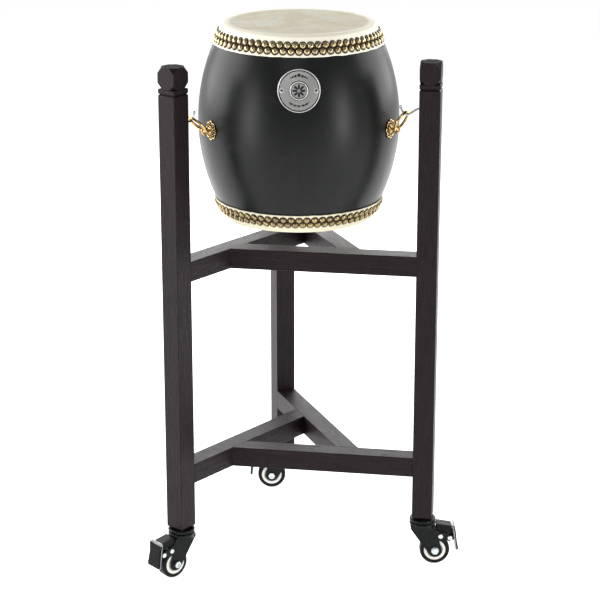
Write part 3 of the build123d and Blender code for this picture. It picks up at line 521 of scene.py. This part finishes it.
def hide_piece(name, node, upside, seed):
    """A hide pulled over the shell's end, its cut edge a little uneven below the nails."""
    rim = skirt_radius(SHOULDER, HIDE_THICKNESS)

    def ripple(angle, scale, level):
        spot = Vector((math.cos(angle) * scale, math.sin(angle) * scale, level * 60 + seed))
        return noise.noise(spot)

    def lap(angle):
        return LAP_HEIGHT + LAP_WAVER * (0.5 + ripple(angle, 9, 1.0) + 0.5 * ripple(angle, 34, 2.0))

    def ring(make):
        return [make(2 * math.pi * k / HIDE_SPOKES) for k in range(HIDE_SPOKES)]

    def spot(radius, angle, level):
        return DRUM_CENTRE + Vector((radius * math.cos(angle), radius * math.sin(angle), level * upside))

    # Painted shade round the nail heads: 1 close to a nail, fading to 0 a set reach away.
    def nail_shade(angle, level):
        pitch = 2 * math.pi / NAILS_PER_ROW
        nearest = 1.0
        for row, height in enumerate(NAIL_ROW_HEIGHTS):
            offset = (angle - (row + 1) * pitch / 2) % pitch - pitch / 2
            away = math.hypot(offset * NAIL_RING_RADIUS, level - height - NAIL_SHADE_SHIFT)
            nearest = min(nearest, away)
        return clamp((NAIL_SHADE_REACH - nearest) / NAIL_SHADE_EDGE)

    rows = []
    for step in range(1, FLAT_RINGS + 1):
        radius = FLAT_RADIUS * (step / FLAT_RINGS) ** 0.8
        give = HEAD_SAG * math.sin(math.pi * step / FLAT_RINGS)

        def played(a):
            return spot(radius, a, DRUM_HALF - give * (1 + ripple(a, 2 + 30 * radius, radius)))

        rows.append(ring(played))
    for step in range(1, SHOULDER_RINGS + 1):
        t = math.radians(90 * step / SHOULDER_RINGS)
        radius = FLAT_RADIUS + (rim - FLAT_RADIUS) * math.sin(t)
        level = SHOULDER + (DRUM_HALF - SHOULDER) * math.cos(t)
        pull = SHOULDER_WAVER * math.sin(t)
        rows.append(ring(lambda a: spot(radius - pull * (0.6 + ripple(a, 26, level)), a, level)))
    for step in range(1, SKIRT_RINGS + 1):
        share = step / SKIRT_RINGS

        def skirt(a):
            level = SHOULDER + (lap(a) - SHOULDER) * share
            thin = SKIRT_WAVER * (0.6 + ripple(a, 26, level))
            if share == 1.0:
                thin += LAP_THINNING
            return spot(skirt_radius(level, HIDE_THICKNESS - thin), a, level)

        rows.append(ring(skirt))
    rows.append(ring(lambda a: spot(skirt_radius(lap(a), HIDE_GAP), a, lap(a))))
    for level in INNER_HEIGHTS:
        rows.append(ring(lambda a: spot(skirt_radius(level, HIDE_GAP), a, level)))
    under = SHELL_HALF + HEAD_GAP
    for radius in (FLAT_RADIUS - 0.0014, FLAT_RADIUS * 0.5):
        rows.append(ring(lambda a: spot(radius, a, under)))
    points, faces = spun(rows, spot(0, 0, DRUM_HALF), spot(0, 0, under))
    # Values of the painted shade round the nails, on the skirt only.
    tint = []
    for point in points:
        away = point - DRUM_CENTRE
        on_skirt = away.xy.length > rim * 0.99
        tint.append(nail_shade(math.atan2(away.y, away.x), away.z * upside) if on_skirt else 0.0)
    piece(name, points, faces, "drum", MATERIALS[NODE_MATERIALS[node]], node, {"nail_shade": tint})


hide_piece("hide_upper", "top_head", 1, 3.7)
hide_piece("hide_lower", "bottom_head", -1, 11.3)


# ---------------------------------------------------------------- badge
BADGE_HEIGHT = 0.081             # metres above the drum's middle
BADGE_RADIUS = 35.0              # the badge's relief is drawn in millimetres
BADGE_PLATE = 1.2
BADGE_PIN_OFFSET = 27.7
BADGE_PETALS = 8
BADGE_BACK = 0.06                # gap between the plate and the barrel
BADGE_SPOKES = 320
BADGE_RINGS = 92


def badge_marks():
    """Sunk dots of the badge as (x, y, radius): a spray above and a string below."""
    marks = [(0.0, 24.8, 2.8)]
    for side in (-1, 1):
        for angle, size in ((13.5, 2.2), (24.0, 1.7), (32.5, 1.2)):
            turn = math.radians(90 + side * angle)
            marks.append((24.0 * math.cos(turn), 24.0 * math.sin(turn), size))
    for n in range(-5, 6):
        turn = math.radians(-90 + 7.8 * n)
        marks.append((24.2 * math.cos(turn), 24.2 * math.sin(turn), 1.2 if n % 2 else 1.95))
    return marks


BADGE_MARKS = badge_marks()


def badge_relief(radius, angle):
    """Height over the barrel and brightness of the badge at a point, in millimetres and 0 to 1."""
    x = radius * math.cos(angle)
    y = radius * math.sin(angle)
    stipple = noise.noise(Vector((x * 1.4, y * 1.4, 4.1)))
    height = BADGE_PLATE + 0.06 * stipple
    bright = 0.52 + 0.32 * stipple
    for ring, width, rise in ((34.05, 0.95, 0.70), (14.1, 0.95, 0.65)):
        bead = hump(radius - ring, width)
        height += rise * bead
        bright = max(bright, 0.60 + 0.6 * bead) if bead else bright
    for groove, width in ((32.3, 0.95), (12.6, 0.8), (15.6, 0.65)):
        sunk = hump(radius - groove, width)
        height -= 0.22 * sunk
        bright -= 0.75 * sunk
    for side in (-1, 1):
        collar = hump(math.hypot(x - side * BADGE_PIN_OFFSET, y) - 3.0, 1.0)
        height += 0.35 * collar
        bright = max(bright, 0.95 * collar)
    petal = 10.8 * abs(math.cos(BADGE_PETALS / 2 * angle)) ** 0.55
    inside = clamp((petal - radius) / 0.7) if radius > 2.6 else 0.0
    for mark_x, mark_y, size in BADGE_MARKS:
        inside = max(inside, clamp((size - math.hypot(x - mark_x, y - mark_y)) / 0.4))
    height -= 0.38 * inside
    bright -= 0.9 * inside
    return height, clamp(bright)


def badge():
    """The bent round plate, drawn as a relief on the barrel's skin."""
    slope = math.asin(BADGE_HEIGHT / STAVE_RADIUS)
    angles = [2 * math.pi * k / BADGE_SPOKES for k in range(BADGE_SPOKES)]

    def spot(radius, angle, height):
        across = radius * MM * math.cos(angle)
        rise = slope + radius * MM * math.sin(angle) / STAVE_RADIUS
        x, y, z = on_barrel(across, rise, height * MM)
        return DRUM_CENTRE + Vector((y, -x, z))

    rows, values = [], [0.9]
    for r in range(1, BADGE_RINGS + 1):
        radius = BADGE_RADIUS * r / BADGE_RINGS
        row = []
        for angle in angles:
            height, bright = badge_relief(radius, angle)
            row.append(spot(radius, angle, height))
            values.append(bright)
        rows.append(row)
    for radius in (BADGE_RADIUS, BADGE_RADIUS / 2):
        rows.append([spot(radius, angle, BADGE_BACK) for angle in angles])
        values.extend([0.2] * BADGE_SPOKES)
    values.append(0.2)
    points, faces = spun(rows, spot(0, 0, BADGE_PLATE), spot(0, 0, BADGE_BACK))
    piece("badge_plate", points, faces, "drum", MATERIALS["badge"], "badge",
          {"raised": values})


badge()


# ---------------------------------------------------------------- rosettes
PETALS = 8                       # the flower is drawn in millimetres
PETAL_CIRCLE = 10.6
PETAL_RADIUS = 6.4
COLLAR_RADIUS = 7.2
ROSETTE_PEAK = 3.6
ROSETTE_BACK = 0.06              # gap between the flower and the barrel
ROSETTE_SPOKES = 192
ROSETTE_RINGS = 34


def off_petal(angle):
    """Angle from the middle of the nearest petal."""
    step = 2 * math.pi / PETALS
    return (angle + step / 2) % step - step / 2


def rosette_edge(angle):
    """Distance from the middle to the flower's outline."""
    beside = off_petal(angle)
    reach = math.sqrt(PETAL_RADIUS ** 2 - (PETAL_CIRCLE * math.sin(beside)) ** 2)
    return PETAL_CIRCLE * math.cos(beside) + reach


def rosette_relief(radius, angle):
    """Height and brightness of a cast petal flower with a beaded boss."""
    beside = off_petal(angle)
    x = radius * math.cos(beside)
    y = radius * math.sin(beside)
    away = math.hypot(x - PETAL_CIRCLE, y)
    ridge = math.exp(-((away - 4.7) / 0.80) ** 2)
    bead = math.exp(-(away / 1.3) ** 2)
    vein = math.exp(-(y / 0.45) ** 2) * clamp((x - 7.0) / 2) * clamp((15.2 - x) / 1.5)
    height = 0.75 + 1.25 * ridge + 0.85 * bead + 0.45 * vein
    bright = 0.90 * ridge + 0.6 * bead + 0.4 * vein
    if radius < COLLAR_RADIUS:
        rope = hump(radius - 6.0, 1.2) * (0.72 + 0.28 * math.cos(20 * angle))
        collar = clamp((5.0 - radius) / 0.9)
        inner = 1.1 + 1.5 * rope + 1.9 * collar
        share = clamp((COLLAR_RADIUS - radius) / 0.8)
        height += (inner - height) * share
        bright += (0.85 * rope + 0.7 * collar - bright) * share
    return min(height, ROSETTE_PEAK), clamp(bright)


def rosette(side):
    """One rosette, at the azimuth of its ring."""
    ring_low, ring_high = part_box("ring_" + side)
    middle = (ring_low + ring_high) / 2 - DRUM_CENTRE
    azimuth = math.atan2(middle.y, middle.x)
    turn = Matrix.Rotation(azimuth, 3, "Z")
    angles = [2 * math.pi * k / ROSETTE_SPOKES for k in range(ROSETTE_SPOKES)]

    def spot(radius, angle, height):
        across = radius * MM * math.sin(angle)
        rise = radius * MM * math.cos(angle) / STAVE_RADIUS
        return DRUM_CENTRE + turn @ Vector(on_barrel(across, rise, (ROSETTE_BACK + height) * MM))

    rows, values = [], [0.5]
    for r in range(1, ROSETTE_RINGS + 1):
        row = []
        for angle in angles:
            radius = rosette_edge(angle) * r / ROSETTE_RINGS
            height, bright = rosette_relief(radius, angle)
            row.append(spot(radius, angle, height))
            values.append(bright)
        rows.append(row)
    for share in (1.0, 0.5):
        rows.append([spot(rosette_edge(angle) * share, angle, 0.0) for angle in angles])
        values.extend([0.1] * ROSETTE_SPOKES)
    values.append(0.1)
    points, faces = spun(rows, spot(0, 0, 3.0), spot(0, 0, 0))
    piece("rosette_" + side, points, faces, "drum", MATERIALS["rosette"], "rosettes",
          {"raised": values})


for side in SIDES:
    rosette(side)


# ---------------------------------------------------------------- brake pedals
PEDAL_TOP = Vector((0.0526, 0.0, 0.0730))        # from the foot of the swivel axis, heading along X
PEDAL_FOOT = Vector((0.0586, 0.0, 0.0270))
PEDAL_UP = (PEDAL_TOP - PEDAL_FOOT).normalized()
PEDAL_OUT = Vector((PEDAL_UP.z, 0.0, -PEDAL_UP.x))
PAD_LOW = 0.6                    # the pad is drawn in millimetres up from the plate's foot
PAD_HIGH = 42.3
PAD_HALF = 17.4
PAD_EAR = 0.9
PAD_CORNER = 3.5
PAD_WAIST = 1.5
PAD_BACK = 0.93
PAD_STEP = 9.0                   # the thick band at the foot of the pad ends here
PAD_RIB_PITCH = 2.9
PAD_COLUMNS = 56
PAD_STEPS = 96
LEVER_PLATE = 0.0012             # thickness of the bright plate behind the pad, in metres
LEVER_BLEND = 0.0001


def caster_frame(side):
    """Swivel axis and heading of a caster, as it stands at rest."""
    race_low, race_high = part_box(f"caster_{side}_top_race")
    tyre_low, tyre_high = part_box(f"caster_{side}_tyre")
    axis = (race_low + race_high) / 2
    away = (tyre_low + tyre_high) / 2 - axis
    return Vector((axis.x, axis.y, 0)), math.atan2(away.y, away.x)


def pad_half_width(rise):
    """Half width of the pad: round at the foot, waisted, with pointed ears at the top."""
    foot = clamp((rise - PAD_LOW) / 5.0)
    corner = PAD_CORNER * (1 - math.sqrt(1 - (1 - foot) ** 2))
    waist = PAD_WAIST * math.exp(-((rise - 26.0) / 8.5) ** 2)
    ear = PAD_EAR * clamp((rise - 36.0) / 6.0) ** 2
    return PAD_HALF - PAD_EAR - corner - waist + ear


def pad_height(across, rise, margin):
    """Thickness of the rubber at a point; margin is the distance to the pad's edge."""
    ribs = 0.5 + 0.5 * math.cos(2 * math.pi * rise / PAD_RIB_PITCH)
    thick = 1.75 + 0.45 * ribs * clamp((margin - 1.8) / 0.6)
    thick += 0.55 * clamp(1 - abs(margin - 1.1) / 0.7)
    foot = clamp((PAD_STEP - rise) / 1.2)
    thick += (2.95 - thick) * foot
    thick -= 0.35 * hump(rise - PAD_STEP - 0.9, 0.6)
    dish = 0.25 * math.cos(across / PAD_HALF * math.pi / 2)
    return (thick + dish) * (0.30 + 0.70 * math.sin(math.pi / 2 * clamp(margin / 0.9)))


def pedal_pad(side):
    """The grooved rubber tread: a front and a back sheet of points, closed round the rim."""
    axis, heading = caster_frame(side)
    turn = Matrix.Rotation(heading, 3, "Z")

    def spot(across, rise, height):
        place = PEDAL_FOOT + PEDAL_UP * (rise * MM) + PEDAL_OUT * (height * MM)
        return axis + turn @ (place + Vector((0, across * MM, 0)))

    front, back = [], []
    for j in range(PAD_STEPS + 1):
        share = j / PAD_STEPS
        for i in range(PAD_COLUMNS + 1):
            lateral = math.sin(math.pi / 2 * (2 * i / PAD_COLUMNS - 1))
            crest = PAD_HIGH - 1.8 * math.cos(math.pi / 2 * lateral)
            rise = PAD_LOW + (crest - PAD_LOW) * share
            half = pad_half_width(rise)
            across = half * lateral
            margin = min(half - abs(across), rise - PAD_LOW, crest - rise)
            front.append(spot(across, rise, PAD_BACK + pad_height(across, rise, margin)))
            back.append(spot(across, rise, PAD_BACK))
    width = PAD_COLUMNS + 1
    shift = len(front)
    faces = []
    for j in range(PAD_STEPS):
        for i in range(PAD_COLUMNS):
            a = j * width + i
            faces.append((a, a + 1, a + 1 + width, a + width))
            faces.append((shift + a, shift + a + width, shift + a + 1 + width, shift + a + 1))
    rim = list(range(width))
    rim += [j * width + PAD_COLUMNS for j in range(1, PAD_STEPS + 1)]
    rim += [PAD_STEPS * width + i for i in range(PAD_COLUMNS - 1, -1, -1)]
    rim += [j * width for j in range(PAD_STEPS - 1, 0, -1)]
    for here, after in zip(rim, rim[1:] + rim[:1]):
        faces.append((here, shift + here, shift + after, after))
    piece("pedal_tread_" + side, front + back, faces, "brake_" + side, MATERIALS["pad"],
          f"caster_{side}_pedal_pad")


def lever_steel(side):
    """Bright plate on the foot side of the lever, black paint on its cheeks and shoe."""
    axis, heading = caster_frame(side)
    turn = Matrix.Rotation(heading, 3, "Z")
    out = turn @ PEDAL_OUT
    m = Nodes("lever_steel_" + side)
    place = m.coordinates()
    tint = m.noise(place, 500, 4, 0.6, 0.4)
    back = out.dot(axis + turn @ PEDAL_FOOT) - LEVER_PLATE
    bright = m.ramp(m.dot(place, out), back - LEVER_BLEND, back + LEVER_BLEND)
    metal_colour = m.mix(m.ramp(tint, 0.42, 0.75), (0.30, 0.31, 0.32), (0.16, 0.16, 0.17))
    m.link(m.mix(bright, (0.006, 0.006, 0.006), metal_colour), "Base Color")
    m.link(m.ramp(tint, 0.3, 0.7, 0.30, 0.46), "Roughness")
    m.link(m.bump(m.noise(place, 2200, 2, 0.5), 0.00005, 0.4), "Normal")
    m.fixed(Metallic=1.0)
    return m.material


for side in SIDES:
    pedal_pad(side)
    dress(f"caster_{side}_brake_lever", lever_steel(side))


# ---------------------------------------------------------------- stage, light and camera
FLOOR_HALF = 300.0               # the floor runs to the horizon in every view
FLOOR_GLOW = 0.71
WORLD_STRENGTH = 0.30
LIGHTS = (                       # name, place, target, width, height, watts
    ("key", (-2.4, 0.60, 1.50), (0, 0, 0.7), 2.8, 1.9, 90),
    ("fill", (2.3, 1.05, 1.50), (0, 0, 0.7), 2.6, 1.9, 60),
    ("front", (-0.4, -2.9, 2.7), (0, 0, 0.6), 1.6, 0.9, 9),
    ("strip_left", (-2.3, -1.6, 0.80), (0, 0, 0.75), 0.6, 1.3, 24),
    ("strip_right", (2.1, -1.8, 0.80), (0, 0, 0.75), 0.6, 1.3, 24),
    ("back", (0.0, 2.8, 1.5), (0, 0, 0.5), 3.2, 1.5, 70),
)
SENSOR = 36                      # millimetres, as is the lens
LENS = 122.8
CAMERA_PLACE = (-0.0016, -3.387, 1.541)
CAMERA_DOWN = 17.84              # degrees below the horizon
CAMERA_TURN = -0.157


def stage_floor():
    corners = [(-1, -1), (1, -1), (1, 1), (-1, 1)]
    mesh = bpy.data.meshes.new("floor")
    mesh.from_pydata([(x * FLOOR_HALF, y * FLOOR_HALF, 0) for x, y in corners], [], [(0, 1, 2, 3)])
    floor = bpy.data.objects.new("floor", mesh)
    bpy.context.scene.collection.objects.link(floor)
    paper = Nodes("floor_paper")
    paper.fixed(Base_Color=(0.86, 0.86, 0.86, 1), Roughness=0.9, Specular_IOR_Level=0.1,
                Emission_Color=(1, 1, 1, 1), Emission_Strength=FLOOR_GLOW)
    mesh.materials.append(paper.material)


def softbox(name, place, target, width, height, power):
    """A large area light that the camera doesn't see."""
    light = bpy.data.lights.new(name, "AREA")
    light.shape = "RECTANGLE"
    light.size = width
    light.size_y = height
    light.energy = power
    lamp = bpy.data.objects.new(name, light)
    lamp.visible_camera = False
    bpy.context.scene.collection.objects.link(lamp)
    lamp.location = place
    lamp.rotation_mode = "QUATERNION"
    lamp.rotation_quaternion = (Vector(target) - Vector(place)).to_track_quat("-Z", "Y")


def studio():
    """White surroundings, soft boxes, and plain sRGB output."""
    world = bpy.data.worlds.new("studio")
    bpy.context.scene.world = world
    world.use_nodes = True
    background = world.node_tree.nodes["Background"]
    background.inputs["Color"].default_value = (1.0, 1.0, 1.0, 1)
    background.inputs["Strength"].default_value = WORLD_STRENGTH
    for light in LIGHTS:
        softbox(*light)
    bpy.context.scene.view_settings.view_transform = "Standard"


def camera():
    data = bpy.data.cameras.new("camera")
    data.sensor_width = SENSOR
    data.lens = LENS
    cam = bpy.data.objects.new("camera", data)
    bpy.context.scene.collection.objects.link(cam)
    cam.location = CAMERA_PLACE
    cam.rotation_euler = (math.radians(90 - CAMERA_DOWN), 0, math.radians(CAMERA_TURN))
    bpy.context.scene.camera = cam


stage_floor()
studio()
camera()
